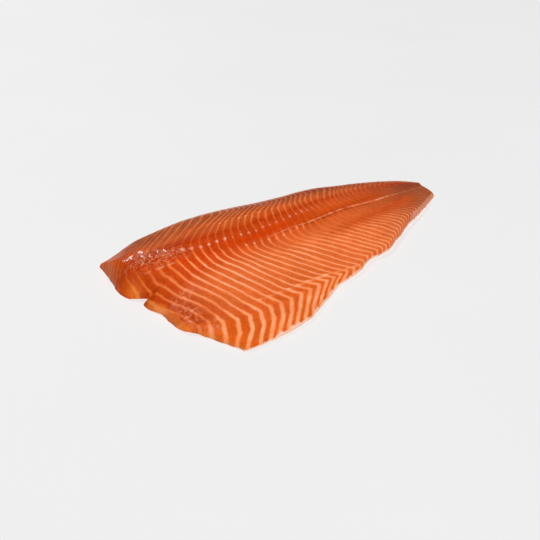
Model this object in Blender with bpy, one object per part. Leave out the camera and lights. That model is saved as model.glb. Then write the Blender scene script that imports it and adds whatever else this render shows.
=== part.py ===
"""A raw salmon fillet, lying flesh side up on its flat skinned side.

One closed solid, in metres, +Z up. The fillet lies along X with its tail at +X, its thick back
edge at +Y and its thin belly edge at -Y. The origin is at the middle of its footprint, on the
plane that it rests on.

Places along the fillet are shares of LENGTH, from 0 at the head end to 1 at the tail.
Places across it are shares of half of WIDTH, from -1 on the belly side to 1 on the back side.
Heights are shares of THICKNESS.
"""

import math

import bmesh
import bpy

# Driving dimensions
LENGTH = 0.410
WIDTH = 0.208
THICKNESS = 0.028

# Outline: (along, across) where an edge runs along the fillet, (across, along) where it runs across it
BACK_EDGE = (
    (0.033, 0.980), (0.059, 0.982), (0.122, 0.982), (0.224, 0.994), (0.273, 0.994), (0.366, 0.922),
    (0.500, 0.774), (0.576, 0.716), (0.639, 0.690), (0.693, 0.645), (0.756, 0.540), (0.841, 0.420),
    (0.915, 0.265), (0.968, 0.104), (0.995, -0.049),
)
BELLY_EDGE = (
    (0.054, -0.920), (0.105, -0.963), (0.178, -0.996), (0.234, -0.987), (0.305, -0.920), (0.371, -0.833),
    (0.466, -0.800), (0.524, -0.743), (0.610, -0.743), (0.659, -0.684), (0.761, -0.561), (0.844, -0.489),
    (0.927, -0.399), (0.968, -0.345),
)
HEAD_CUT = (
    (-0.923, 0.060), (-0.736, 0.048), (-0.575, 0.036), (-0.480, 0.029), (-0.370, 0.014), (-0.199, 0.013),
    (-0.038, 0.018), (0.074, 0.010), (0.150, 0.011), (0.210, 0.016), (0.307, 0.005), (0.417, -0.001),
    (0.534, 0.004), (0.645, 0.012), (0.768, 0.020), (0.980, 0.033),
)
TAIL_CUT = (
    (-0.345, 0.968), (-0.290, 0.975), (-0.200, 0.980), (-0.135, 0.984), (-0.090, 0.992), (-0.040, 0.996),
)

# Height of the loin's crest along the fillet: (along, height)
CREST_HEIGHT = (
    (0.000, 0.75), (0.073, 0.90), (0.170, 0.98), (0.290, 1.00), (0.440, 0.93), (0.585, 0.77),
    (0.730, 0.55), (0.850, 0.37), (0.950, 0.24), (1.000, 0.19),
)
# Height across the fillet, as a share of the crest's: (across, in the front, in the rear)
SECTION = (
    (-1.00, 0.17, 0.60),
    (-0.80, 0.25, 0.68),
    (-0.60, 0.38, 0.80),
    (-0.35, 0.61, 0.90),
    (-0.10, 0.81, 0.96),
    (0.20, 0.93, 1.00),
    (0.45, 1.00, 1.00),
    (0.70, 0.91, 0.97),
    (0.88, 0.74, 0.90),
    (1.00, 0.57, 0.80),
)
FRONT_ENDS = 0.36
REAR_STARTS = 0.93

# Lines that the flesh follows: (along, across)
BACKBONE = ((0.00, 0.22), (0.12, 0.22), (0.20, 0.18), (0.30, -0.02), (0.50, -0.05), (1.00, 0.00))
PIN_BONES = ((0.00, 0.34), (0.18, 0.29), (0.29, 0.16), (0.44, 0.12), (0.60, 0.17), (1.00, 0.30))
BELLY_FOLD = ((0.00, -0.54), (0.10, -0.56), (0.33, -0.75), (0.50, -0.98), (1.00, -0.98))

TROUGH_DEPTH = 0.0018
TROUGH_HALF_WIDTH = 0.0075
TROUGH_SPAN = (0.10, 0.28, 0.65, 0.85)
FOLD_HEIGHT = 0.0009
FOLD_HALF_WIDTH = 0.0045
FOLD_SPAN = (0.04, 0.12, 0.40, 0.50)

# Edges: how far each takes to rise, and its roundness, from 1 for a straight bevel to 2 for a quarter ellipse
BACK_RISE = ((0.00, 0.006), (0.15, 0.011), (0.50, 0.011), (0.75, 0.008), (1.00, 0.004))
HEAD_RISE = ((-1.00, 0.003), (0.00, 0.005), (0.30, 0.007), (0.50, 0.014), (0.70, 0.010), (0.90, 0.0035))
BELLY_RISE = 0.003
TAIL_RISE = 0.003
NOTCH_RISE = 0.003
# The flesh thins towards the head cut: (across, share of the height lost at the cut)
HEAD_THINNING = ((-1.00, 0.15), (-0.50, 0.35), (0.00, 0.62), (0.28, 0.70), (0.45, 0.30), (0.65, 0.08), (1.00, 0.65))
THINNING_REACH = 0.11
BACK_ROUNDNESS = 2.0
BELLY_ROUNDNESS = 2.0
HEAD_ROUNDNESS = 1.5
TAIL_ROUNDNESS = 1.6

# The notch cut into the head end between the loin and the belly flap. The flap's lip is straight, and the
# loin's lip swings away from it, taking the flesh behind it along over the swing's reach.
NOTCH_TIP = 0.0208
NOTCH_DEPTH = 0.0185
NOTCH_MOUTH = 0.0150
NOTCH_REACH = 0.025

# Rows run along the fillet and columns run across it
EDGE_STEPS = 6
INNER_ROWS = 32
NOTCH_ROW = 24
INNER_COLUMNS = 66
SETTLE_STEPS = 25
SLOPE_STEP = 0.002
SHARP_ANGLE = math.radians(50)
FLAP_SIDE, LOIN_SIDE = -1, 1

FLESH_COLOUR = (0.72, 0.17, 0.05, 1)
FLESH_ROUGHNESS = 0.35


def smooth_curve(points):
    """A curve through the points, with each slope taken from its neighbours, and straight beyond both ends."""
    places = [point[0] for point in points]
    values = [point[1] for point in points]
    gaps = [places[i + 1] - places[i] for i in range(len(points) - 1)]
    chords = [(values[i + 1] - values[i]) / gaps[i] for i in range(len(gaps))]
    inner = [
        (chords[i - 1] * gaps[i] + chords[i] * gaps[i - 1]) / (gaps[i] + gaps[i - 1])
        for i in range(1, len(gaps))
    ]
    slopes = [chords[0]] + inner + [chords[-1]]

    def value(place):
        if place <= places[0]:
            return values[0] + slopes[0] * (place - places[0])
        if place >= places[-1]:
            return values[-1] + slopes[-1] * (place - places[-1])
        i = max(k for k in range(len(gaps)) if places[k] <= place)
        t = (place - places[i]) / gaps[i]
        return (
            (1 + 2 * t) * (1 - t) ** 2 * values[i]
            + t * (1 - t) ** 2 * gaps[i] * slopes[i]
            + t * t * (3 - 2 * t) * values[i + 1]
            + t * t * (t - 1) * gaps[i] * slopes[i + 1]
        )

    return value


def scaled_curve(points, place_scale, value_scale):
    return smooth_curve([(place * place_scale, value * value_scale) for place, value in points])


HALF = WIDTH / 2
back_edge = scaled_curve(BACK_EDGE, LENGTH, HALF)
belly_edge = scaled_curve(BELLY_EDGE, LENGTH, HALF)
head_cut = scaled_curve(HEAD_CUT, HALF, LENGTH)
tail_cut = scaled_curve(TAIL_CUT, HALF, LENGTH)
crest_height = scaled_curve(CREST_HEIGHT, LENGTH, THICKNESS)
front_section = smooth_curve([(across, front) for across, front, rear in SECTION])
rear_section = smooth_curve([(across, rear) for across, front, rear in SECTION])
backbone = scaled_curve(BACKBONE, LENGTH, 1)
pin_bones = scaled_curve(PIN_BONES, LENGTH, 1)
belly_fold = scaled_curve(BELLY_FOLD, LENGTH, 1)
back_rise = scaled_curve(BACK_RISE, LENGTH, 1)
head_rise = scaled_curve(HEAD_RISE, HALF, 1)
head_thinning = smooth_curve(HEAD_THINNING)


def fade(low, high, value):
    """0 below low, 1 above high, and smooth between them."""
    t = min(max((value - low) / (high - low), 0), 1)
    return t * t * (3 - 2 * t)


def span(ends, x):
    """1 along the middle of a feature, fading to 0 towards its ends, which are shares of the length."""
    start, full, fading, end = (share * LENGTH for share in ends)
    return fade(start, full, x) * (1 - fade(fading, end, x))


def rise(distance, width, roundness):
    """An edge's share of its full height, at a distance in from the outline."""
    rest = 1 - min(max(distance / width, 0), 1)
    return (1 - rest**roundness) ** (1 / roundness)


def rise_stops(width, roundness):
    """Distances in from the outline at which the edge's curve turns by equal steps."""
    angles = [math.pi / 2 * step / EDGE_STEPS for step in range(EDGE_STEPS)]
    return [width * (1 - math.cos(angle) ** (2 / roundness)) for angle in angles]


def inward(edge, place, gap):
    """The distance square to a sloping edge, for a gap measured straight along X or Y."""
    slope = (edge(place + SLOPE_STEP) - edge(place - SLOPE_STEP)) / (2 * SLOPE_STEP)
    return gap / math.hypot(1, slope)


def ridge(y, centre, half_width):
    return math.exp(-(((y - centre) / half_width) ** 2))


def top_height(x, y):
    """Height of the flesh above the resting plane, away from the notch."""
    back, belly = back_edge(x), belly_edge(x)
    middle, half = (back + belly) / 2, (back - belly) / 2
    across = (y - middle) / half
    rear = fade(FRONT_ENDS * LENGTH, REAR_STARTS * LENGTH, x)
    height = crest_height(x) * (front_section(across) * (1 - rear) + rear_section(across) * rear)
    trough = middle + half * (backbone(x) + pin_bones(x)) / 2
    height -= TROUGH_DEPTH * span(TROUGH_SPAN, x) * ridge(y, trough, TROUGH_HALF_WIDTH)
    fold = middle + half * belly_fold(x)
    height += FOLD_HEIGHT * span(FOLD_SPAN, x) * ridge(y, fold, FOLD_HALF_WIDTH)
    height *= 1 - head_thinning(across) * (1 - fade(0, THINNING_REACH * LENGTH, x - head_cut(y)))
    height *= rise(inward(back_edge, x, back - y), back_rise(x), BACK_ROUNDNESS)
    height *= rise(inward(belly_edge, x, y - belly), BELLY_RISE, BELLY_ROUNDNESS)
    height *= rise(inward(head_cut, y, x - head_cut(y)), head_rise(y), HEAD_ROUNDNESS)
    height *= rise(inward(tail_cut, y, tail_cut(y) - x), TAIL_RISE, TAIL_ROUNDNESS)
    return height


def spaced(start_stops, end_stops, inner, low, high):
    """Places from low to high: close together at both edges, and evenly spread between them."""
    first = [low + stop for stop in start_stops]
    last = [high - stop for stop in reversed(end_stops)]
    from_here, to_here = first[-1], last[0]
    between = [from_here + (to_here - from_here) * k / (inner + 1) for k in range(1, inner + 1)]
    return first + between + last


def notch_swing(x, apart):
    """How far the loin's lip swings the flesh at x towards the back, at a distance from the notch's row."""
    open_share = min(max((NOTCH_TIP - x) / NOTCH_DEPTH, 0), 1)
    return NOTCH_MOUTH * open_share * math.exp(-apart / NOTCH_REACH)


def footprint(column, row, side):
    """Where a column meets a row, in plan, and how far that is from its side's lip of the notch.

    The place along and the place across depend on each other, so they settle by turns.
    """
    x, y, apart = LENGTH / 2, 0.0, 0.0
    for _ in range(SETTLE_STEPS):
        rows = spaced(
            rise_stops(BELLY_RISE, BELLY_ROUNDNESS),
            rise_stops(back_rise(x), BACK_ROUNDNESS),
            INNER_ROWS,
            belly_edge(x),
            back_edge(x),
        )
        y, notch_y = rows[row], rows[NOTCH_ROW]
        apart = abs(y - notch_y)
        if side == LOIN_SIDE:
            y += notch_swing(x, apart)
            apart = y - notch_y - notch_swing(x, 0)
        columns = spaced(
            rise_stops(head_rise(y), HEAD_ROUNDNESS),
            rise_stops(TAIL_RISE, TAIL_ROUNDNESS),
            INNER_COLUMNS,
            head_cut(y),
            tail_cut(y),
        )
        x = columns[column]
    return x, y, apart


def flesh_column(column, row_count):
    """One column's points by row and side of the notch. The notch's own row is on both sides where it is open."""
    notch_is_open = footprint(column, NOTCH_ROW, FLAP_SIDE)[0] < NOTCH_TIP
    points = {}
    for row in range(row_count):
        for side in (FLAP_SIDE, LOIN_SIDE):
            if (row < NOTCH_ROW and side == LOIN_SIDE) or (row > NOTCH_ROW and side == FLAP_SIDE):
                continue
            if row == NOTCH_ROW and side == LOIN_SIDE and not notch_is_open:
                continue
            x, y, apart = footprint(column, row, side)
            height = top_height(x, y)
            if notch_is_open:
                height *= rise(apart, NOTCH_RISE, BELLY_ROUNDNESS)
            points[row, side] = (x, y, height)
    return points


def add_flesh(mesh):
    """The whole upper surface, from the resting plane at one edge over to the resting plane at the other."""
    row_count = 2 * EDGE_STEPS + INNER_ROWS
    corners = []
    for column in range(2 * EDGE_STEPS + INNER_COLUMNS):
        points = flesh_column(column, row_count)
        corner = {key: mesh.verts.new(place) for key, place in points.items()}
        corner.setdefault((NOTCH_ROW, LOIN_SIDE), corner[NOTCH_ROW, FLAP_SIDE])
        corners.append(corner)
    for near, far in zip(corners, corners[1:]):
        for row in range(row_count - 1):
            side = LOIN_SIDE if row >= NOTCH_ROW else FLAP_SIDE
            square = (near[row, side], far[row, side], far[row + 1, side], near[row + 1, side])
            mesh.faces.new(square)


def build_fillet():
    mesh = bmesh.new()
    add_flesh(mesh)
    rim = [edge for edge in mesh.edges if edge.is_boundary]
    for vert in {vert for edge in rim for vert in edge.verts}:
        vert.co.z = 0
    bmesh.ops.edgeloop_fill(mesh, edges=rim)
    bmesh.ops.triangulate(mesh, faces=mesh.faces[:], quad_method="SHORT_EDGE", ngon_method="BEAUTY")
    bmesh.ops.recalc_face_normals(mesh, faces=mesh.faces[:])
    low = [min(vert.co[axis] for vert in mesh.verts) for axis in range(3)]
    high = [max(vert.co[axis] for vert in mesh.verts) for axis in range(3)]
    middle = (-(low[0] + high[0]) / 2, -(low[1] + high[1]) / 2, -low[2])
    bmesh.ops.translate(mesh, verts=mesh.verts[:], vec=middle)
    data = bpy.data.meshes.new("fillet")
    mesh.to_mesh(data)
    mesh.free()
    data.shade_smooth()
    data.set_sharp_from_angle(angle=SHARP_ANGLE)
    fillet = bpy.data.objects.new("fillet", data)
    bpy.context.collection.objects.link(fillet)
    return fillet


def salmon_flesh():
    material = bpy.data.materials.new("salmon flesh")
    material.use_nodes = True
    shader = material.node_tree.nodes["Principled BSDF"]
    shader.inputs["Base Color"].default_value = FLESH_COLOUR
    shader.inputs["Roughness"].default_value = FLESH_ROUGHNESS
    shader.inputs["Metallic"].default_value = 0
    return material


def main():
    for leftover in list(bpy.data.objects):
        bpy.data.objects.remove(leftover, do_unlink=True)
    fillet = build_fillet()
    fillet.data.materials.append(salmon_flesh())


main()
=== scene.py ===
"""A raw salmon fillet, lying flesh side up, laid out as an add-on that runs as a script."""

import math

import bpy
import numpy as np
from bpy.props import FloatProperty, FloatVectorProperty, IntProperty, PointerProperty
from mathutils import Matrix, Vector
from mathutils.geometry import tessellate_polygon


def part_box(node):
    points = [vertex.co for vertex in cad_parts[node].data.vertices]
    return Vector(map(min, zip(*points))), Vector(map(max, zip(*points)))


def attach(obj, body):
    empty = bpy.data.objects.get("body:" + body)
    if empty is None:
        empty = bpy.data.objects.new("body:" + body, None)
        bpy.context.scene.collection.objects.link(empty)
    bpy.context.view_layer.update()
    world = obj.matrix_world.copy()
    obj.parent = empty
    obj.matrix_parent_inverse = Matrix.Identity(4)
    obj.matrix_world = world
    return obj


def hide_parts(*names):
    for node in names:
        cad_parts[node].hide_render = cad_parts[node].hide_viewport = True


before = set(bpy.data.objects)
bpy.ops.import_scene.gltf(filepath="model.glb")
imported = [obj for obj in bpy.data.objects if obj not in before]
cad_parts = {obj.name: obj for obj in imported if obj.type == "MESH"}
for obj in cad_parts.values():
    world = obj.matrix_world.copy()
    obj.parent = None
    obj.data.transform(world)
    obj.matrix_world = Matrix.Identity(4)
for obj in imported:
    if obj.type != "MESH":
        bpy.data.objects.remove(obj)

bl_info = {
    "name": "Raw salmon fillet",
    "version": (1, 0, 0),
    "blender": (4, 5, 0),
    "location": "3D View > Sidebar > Salmon",
    "description": "Builds a raw salmon fillet with its fat lines, and the stage it is shown on",
    "category": "Add Mesh",
}

CAD_NODE = "fillet"
MM = 0.001

# The outline and the thickness, as in the solid. Places along are shares of LENGTH, from the head end,
# and places across are shares of HALF, from -1 on the belly side to 1 on the back side.
LENGTH = 0.410
HALF = 0.104
THICKNESS = 0.028
BACK_EDGE = (
    (0.033, 0.980), (0.059, 0.982), (0.122, 0.982), (0.224, 0.994), (0.273, 0.994), (0.366, 0.922),
    (0.500, 0.774), (0.576, 0.716), (0.639, 0.690), (0.693, 0.645), (0.756, 0.540), (0.841, 0.420),
    (0.915, 0.265), (0.968, 0.104), (0.995, -0.049),
)
BELLY_EDGE = (
    (0.054, -0.920), (0.105, -0.963), (0.178, -0.996), (0.234, -0.987), (0.305, -0.920), (0.371, -0.833),
    (0.466, -0.800), (0.524, -0.743), (0.610, -0.743), (0.659, -0.684), (0.761, -0.561), (0.844, -0.489),
    (0.927, -0.399), (0.968, -0.345),
)
HEAD_CUT = (
    (-0.923, 0.060), (-0.736, 0.048), (-0.575, 0.036), (-0.480, 0.029), (-0.370, 0.014), (-0.199, 0.013),
    (-0.038, 0.018), (0.074, 0.010), (0.150, 0.011), (0.210, 0.016), (0.307, 0.005), (0.417, -0.001),
    (0.534, 0.004), (0.645, 0.012), (0.768, 0.020), (0.980, 0.033),
)
TAIL_CUT = (
    (-0.345, 0.968), (-0.290, 0.975), (-0.200, 0.980), (-0.135, 0.984), (-0.090, 0.992), (-0.040, 0.996),
)
CREST_HEIGHT = (
    (0.000, 0.75), (0.073, 0.90), (0.170, 0.98), (0.290, 1.00), (0.440, 0.93), (0.585, 0.77),
    (0.730, 0.55), (0.850, 0.37), (0.950, 0.24), (1.000, 0.19),
)
FRONT_SECTION = (
    (-1.00, 0.17), (-0.80, 0.25), (-0.60, 0.38), (-0.35, 0.61), (-0.10, 0.81), (0.20, 0.93), (0.45, 1.00),
    (0.70, 0.91), (0.88, 0.74), (1.00, 0.57),
)
REAR_SECTION = (
    (-1.00, 0.60), (-0.80, 0.68), (-0.60, 0.80), (-0.35, 0.90), (-0.10, 0.96), (0.20, 1.00), (0.45, 1.00),
    (0.70, 0.97), (0.88, 0.90), (1.00, 0.80),
)
FRONT_ENDS, REAR_STARTS = 0.36, 0.93
BACKBONE_SHARE = ((0.00, 0.22), (0.12, 0.22), (0.20, 0.18), (0.30, -0.02), (0.50, -0.05), (1.00, 0.00))
PIN_BONE_SHARE = ((0.00, 0.34), (0.18, 0.29), (0.29, 0.16), (0.44, 0.12), (0.60, 0.17), (1.00, 0.30))
BELLY_FOLD_SHARE = ((0.00, -0.54), (0.10, -0.56), (0.33, -0.75), (0.50, -0.98), (1.00, -0.98))
TROUGH_DEPTH, TROUGH_HALF_WIDTH, TROUGH_SPAN = 0.0018, 0.0075, (0.10, 0.28, 0.65, 0.85)
FOLD_HEIGHT, FOLD_HALF_WIDTH, FOLD_SPAN = 0.0009, 0.0045, (0.04, 0.12, 0.40, 0.50)
BACK_RISE = ((0.00, 0.006), (0.15, 0.011), (0.50, 0.011), (0.75, 0.008), (1.00, 0.004))
HEAD_RISE = ((-1.00, 0.003), (0.00, 0.005), (0.30, 0.007), (0.50, 0.014), (0.70, 0.010), (0.90, 0.0035))
BELLY_RISE, TAIL_RISE, NOTCH_RISE = 0.003, 0.003, 0.003
HEAD_THINNING = (
    (-1.00, 0.15), (-0.50, 0.35), (0.00, 0.62), (0.28, 0.70), (0.45, 0.30), (0.65, 0.08), (1.00, 0.65),
)
THINNING_REACH = 0.11
BACK_ROUNDNESS, BELLY_ROUNDNESS, HEAD_ROUNDNESS, TAIL_ROUNDNESS = 2.0, 2.0, 1.5, 1.6
NOTCH_TIP, NOTCH_DEPTH, NOTCH_MOUTH, NOTCH_REACH = 0.0208, 0.0185, 0.0150, 0.025
NOTCH_SHARE = 0.576

# The pattern of the flesh, in millimetres on a fillet of PATTERN_SIZE: along from near the head end, and
# across from the middle line, with the back edge on the plus side.
PATTERN_SIZE = (408.4, 207.2)
PATTERN_START = -4.2
# Rows that the fat lines bend at: (along, across)
CHEVRON_TIPS = (
    (0, -54), (20, -58), (29, -61), (41, -67), (51, -70), (62, -72), (75, -73.5), (97, -76), (121, -77),
    (145, -77), (165, -78.5), (185, -81),
)
BELLY_FOLD = (
    (0, -46), (20, -50), (37, -54), (47, -59), (67, -62), (88, -65), (111, -67.5), (134, -69), (150, -71.5),
    (161, -74), (172, -77), (185, -80),
)
MID_BELLY = ((0, -40), (300, -40), (330, -40), (360, -37), (400, -32))
PIN_BONES = (
    (0, 50), (30, 43), (45, 38), (61, 34), (71, 30.5), (80, 28), (98, 24), (106, 22.5), (115, 21),
    (124, 18.6), (132, 17), (150, 16.5), (180, 15.5), (211, 16.5), (237, 16), (300, 14), (390, 4),
)
LOIN_CREASE = (
    (0, 60), (40, 58), (60, 56), (92, 52), (117, 49), (138, 46), (158, 43), (179, 39.5), (200, 37),
    (242, 35.5), (260, 33), (300, 30), (350, 21), (390, 7),
)
# A second step that the lines bend at, below the chevrons' tips
FLAP_STEP = ((20, -74), (34, -76), (48, -81), (62, -85), (80, -88), (110, -88))
# How high up its side the belly edge is fatty
RIM_FAT = ((10, 0.6), (34, 2.0), (48, 3.4), (90, 3.8), (150, 3.4), (220, 2.6), (300, 2.2), (390, 1.6))
# How far in from the outline the back's side turns into the top, where a pale film ends
BACK_CORNER = ((60, 11), (120, 13.5), (180, 12.5), (240, 10), (300, 7.3), (360, 5.6), (400, 5))
# The ridge below the wet patch on the front of the loin
WET_RIDGE = ((4, 43), (12, 40), (20, 36), (30, 29.5), (36, 26.5), (42, 23.5), (50, 20))
# The wet, wrinkled patch on the front of the loin
WET_PLACE = (37, 42)
WET_HALF_LENGTH, WET_HALF_WIDTH = 33, 12
WET_TURN = math.radians(-28)
BACKBONE = (
    (90, 3), (136, 2), (158, 0.5), (179, 0), (200, -2), (242, -2.5), (262, -3.5), (283, -6), (304, -9),
    (325, -10.6), (346, -12.6), (366, -14.3), (383, -16),
)
# Where the fat lines' hooked ends thicken, just below the trough
HOOK_ENDS = ((98, 6.5), (115, 1.5), (134, -1.5), (150, -5), (188, -6))
# Which fat line crosses the middle of the belly where: (along, its number)
LINE_NUMBERS = (
    (9, 0), (54, 5), (91, 9), (119, 12), (139, 14), (177, 18), (213, 22), (237, 25), (289, 31), (338, 37.3),
    (390, 44.3),
)
# Rows that lie between others: shares of the way out to the middle of the belly, and up to the next row
UPPER_BELLY_SHARES = (0.75, 0.50, 0.25, 0.125, 0)
TROUGH_SHARE, LOIN_SHARE = 0.55, 0.45
# The row above the fold: how far it lies below the middle of the belly, and a belly that brings it nearer
ABOVE_FOLD_DROP, NARROW_BELLY = 10, 12
# The least that rows stand apart towards the tail
TIPS_GAP, FOLD_GAP, ABOVE_FOLD_GAP, CREASE_GAP, BACK_GAP = 1, 1, 0.3, 3, 6
# How far along each line has moved from the middle of the belly, by row, for lines at LEAN_STATIONS
LEAN_STATIONS = (18, 36, 54, 72, 100, 119, 139, 159, 177, 213, 237, 259, 289, 316, 350, 390)
LEAN_ROWS = (
    ("belly edge", (-30, -25, -19, -18, -15, -8, 4, 16, 21, 18, 12, 6, -6, -10, -12, -12)),
    ("flap", (-13, -6, -2, 1, 6, 15, 18, 20, 22, 19, 14, 9, 0, -5, -6, -6)),
    ("chevron tip", (-1.5, 3.5, 7.5, 12, 22, 27, 26, 24, 23, 20, 16, 14, 6, 2, 0, 0)),
    ("fold", (2, 1.5, 4, 6.5, 12, 17.5, 19, 21, 22, 20, 17, 15, 9, 5, 4, 4)),
    ("above fold", (2, 1, 2, 3.5, 5, 7, 8, 6, 8, 8, 6, 11, 9, 8, 6, 6)),
    ("mid belly", (0,) * 16),
    ("belly 30", (0, -2, -4, -4, -4, -6, -6, -7, -8, -10, -6, -9, -10, -12, -12, -12)),
    ("belly 20", (-3, -5, -7, -7, -7, -11, -14, -16, -17, -19, -12, -12, -14, -16, -16, -16)),
    ("belly 10", (-4, -6.5, -9, -10, -12, -15, -19, -20, -20, -19, -14, -13, -12, -14, -14, -14)),
    ("hook", (-5, -7.5, -10, -11, -13, -16, -19, -19, -17, -14, -11, -9, -8, -10, -10, -10)),
    ("middle", (-5.5, -8, -10.5, -11.5, -14, -15, -15, -15, -14, -10, -8, -5, -4, -6, -6, -6)),
    ("trough", (-5.5, -6.5, -8.5, -8.5, -9.5, -10, -10, -10, -9, -5, -4, -4, -3, -5, -4, -3)),
    ("pin bones", (-5, -4.5, -3.5, -3, -4, -5, -6.5, -7, -7, -3, -3, -4, -6, -8, -7, -5)),
    ("loin", (-1, 0, 2, 3, 3, 2, -1, -2, 0, 0, 0, 2, -2, -3, -2, 0)),
    ("crease", (8, 10, 16, 21, 20, 17, 14, 11, 9, 7, 8, 12, 5, 4, 4, 4)),
    ("back", (38, 41, 49, 57, 57, 51, 45, 41, 35, 28, 27, 30, 22, 18, 14, 12)),
    ("back edge", (76, 76, 78, 78, 71, 62, 54, 49, 43, 35, 33, 36, 27, 22, 18, 15)),
)
# How strongly the fat shows, by row, at STRENGTH_STATIONS along the fillet
STRENGTH_STATIONS = (5, 35, 70, 110, 160, 205, 240, 280, 320, 380)
STRENGTH_ROWS = (
    ("belly edge", (0.60, 0.90, 0.90, 0.85, 0.80, 0.70, 0.60, 0.52, 0.42, 0.30)),
    ("flap", (0.70, 1.00, 0.95, 0.90, 0.85, 0.75, 0.70, 0.60, 0.42, 0.30)),
    ("chevron tip", (0.50, 0.95, 0.80, 0.80, 0.82, 0.78, 0.74, 0.70, 0.55, 0.30)),
    ("fold", (0.40, 0.80, 0.85, 0.85, 0.78, 0.76, 0.74, 0.72, 0.62, 0.30)),
    ("above fold", (0.40, 0.60, 0.75, 0.74, 0.70, 0.70, 0.70, 0.70, 0.62, 0.30)),
    ("mid belly", (0.40, 0.60, 0.85, 0.82, 0.80, 0.78, 0.68, 0.54, 0.32, 0.16)),
    ("belly 30", (0.50, 0.75, 1.00, 0.85, 0.85, 0.50, 0.20, 0.08, 0.05, 0.10)),
    ("belly 20", (0.50, 0.80, 1.00, 0.80, 0.35, 0.20, 0.10, 0.06, 0.05, 0.05)),
    ("belly 10", (0.50, 0.80, 0.95, 0.65, 0.40, 0.25, 0.12, 0.10, 0.08, 0.05)),
    ("hook", (0.50, 0.75, 0.90, 0.65, 0.70, 0.50, 0.20, 0.15, 0.08, 0.05)),
    ("middle", (0.50, 0.70, 0.90, 0.55, 0.45, 0.28, 0.15, 0.12, 0.08, 0.05)),
    ("trough", (0.50, 0.62, 0.80, 0.14, 0.08, 0.08, 0.08, 0.10, 0.10, 0.05)),
    ("pin bones", (0.25, 0.28, 0.40, 0.26, 0.24, 0.24, 0.22, 0.15, 0.12, 0.10)),
    ("loin", (0.15, 0.16, 0.20, 0.36, 0.46, 0.46, 0.42, 0.36, 0.28, 0.12)),
    ("crease", (0.18, 0.20, 0.26, 0.36, 0.50, 0.48, 0.45, 0.40, 0.32, 0.12)),
    ("back", (0.28, 0.36, 0.42, 0.42, 0.42, 0.38, 0.34, 0.32, 0.26, 0.14)),
    ("back edge", (0.26, 0.30, 0.30, 0.30, 0.28, 0.26, 0.24, 0.22, 0.20, 0.12)),
)
# Which parts of the flesh have a colour of their own, by row
ZONE_ROWS = {
    "flap": (1, 1, 1, 0.3, 0, 0, 0, 0, 0, 0, 0, 0, 0, 0, 0, 0, 0),
    "chevrons": (0, 0.5, 1, 0.5, 0, 0, 0, 0, 0, 0, 0, 0, 0, 0, 0, 0, 0),
    "rear band": (0, 0, 0, 0, 0, 0.2, 0.9, 0.3, 0, 0, 0, 0, 0, 0, 0, 0, 0),
    "bone side": (0, 0, 0, 0, 0, 0, 0, 0, 0.3, 0.8, 1, 0.5, 0, 0, 0, 0, 0),
    "trough": (0, 0, 0, 0, 0, 0, 0, 0.1, 0.4, 0.6, 0.75, 1, 0.8, 0.2, 0, 0, 0),
    "loin": (0, 0, 0, 0, 0, 0, 0, 0, 0, 0, 0, 0, 0.5, 1, 0.25, 0, 0),
    "crease": (0, 0, 0, 0, 0, 0, 0, 0, 0, 0, 0, 0, 0, 0, 1, 0, 0),
    "back": (0, 0, 0, 0, 0, 0, 0, 0, 0, 0, 0, 0, 0, 0, 0.3, 1, 1),
}

# Stretches that a part or a small form runs over: (start, full, fading, end). One that has no start or no end
# of its own borrows it from past the fillet.
BEFORE_HEAD, PAST_TAIL = (-30, -20), (500, 510)
BEFORE_BELLY, PAST_BACK = (-130, -120), (120, 130)
ZONE_SPANS = {
    "flap": (*BEFORE_HEAD, 150, 200),
    "chevrons": (35, 60, 150, 185),
    "rear band": (170, 235, 330, 380),
    "bone side": (165, 200, 300, 350),
    "trough": (8, 45, *PAST_TAIL),
    "crease": (85, 125, *PAST_TAIL),
    "back": (8, 42, *PAST_TAIL),
}
# Parts whose colour weakens towards the tail: (start, end, how much is lost)
ZONE_LOSSES = {"trough": (170, 260, 0.75), "loin": (230, 330, 0.4), "crease": (200, 300, 0.6)}
HEAD_END_SPAN = (*BEFORE_HEAD, 4, 60)
TAIL_END_SPAN = (230, 400, *PAST_TAIL)
TAIL_SIDE_SPAN, TAIL_SIDE_REACH = (330, 372, *PAST_TAIL), (-24, -4)
BACK_FRONT_SPAN = (50, 84, 140, 175)
FINE_LINES_FADE, FINE_LINES_LOSS = (110, 230), 0.8
BONE_END_SPAN = (54, 62, 225, 245)
FOLD_NODE_SPAN = (56, 68, 140, 165)
CREASE_NODE_SPAN = (100, 125, 245, 275)
HOOK_END_SPAN = (92, 100, 188, 198)
FLAP_STEP_SPAN = (38, 48, 84, 96)
WET_RIDGE_SPAN = (4, 34, 41, 46)
CRACK_SPAN = (84, 92, 120, 128)
SEAM_SPAN = (112, 130, 290, 340)
GUTTER_SPAN = (200, 230, 300, 350)
# The pin bones' ends: their size, how much wider and larger some are, and how far they stray from their row
BONE_END_SIZE, BONE_END_SPREAD, BONE_END_STRAY, BONE_END_RAGGEDNESS = 1.45, 0.9, 1.6, 0.6
LARGE_BONES_FADE, LARGE_BONES_GROWTH = (64, 90), 0.8
STRONG_BONES_FADE, STRONG_BONES_LOSS = (95, 130), 0.35
# The backbone's line: its half width, and where it is faint, is full and fades away again
BACKBONE_HALF_WIDTH = 1.05
BACKBONE_FAINT, BACKBONE_FULL, BACKBONE_FADING = (138, 150), (172, 208), (310, 372)
# The fat band along the belly fold: its half width, and where it is thin, is full and ends
FOLD_BAND_HALF_WIDTH = 1.7
FOLD_BAND_THIN, FOLD_BAND_FULL, FOLD_BAND_END = (60, 70), (110, 142), (184, 196)
# Fresh lips along the head cut: (how far in they start to fade and end, the stretch across, strength)
HEAD_LIPS = (
    ((1.5, 6), (-52, -42, 8, 16), 0.9),
    ((0.8, 2.6), (*BEFORE_BELLY, -60, -50), 0.6),
    ((4, 14), (36, 48, *PAST_BACK), 0.35),
)
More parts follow.
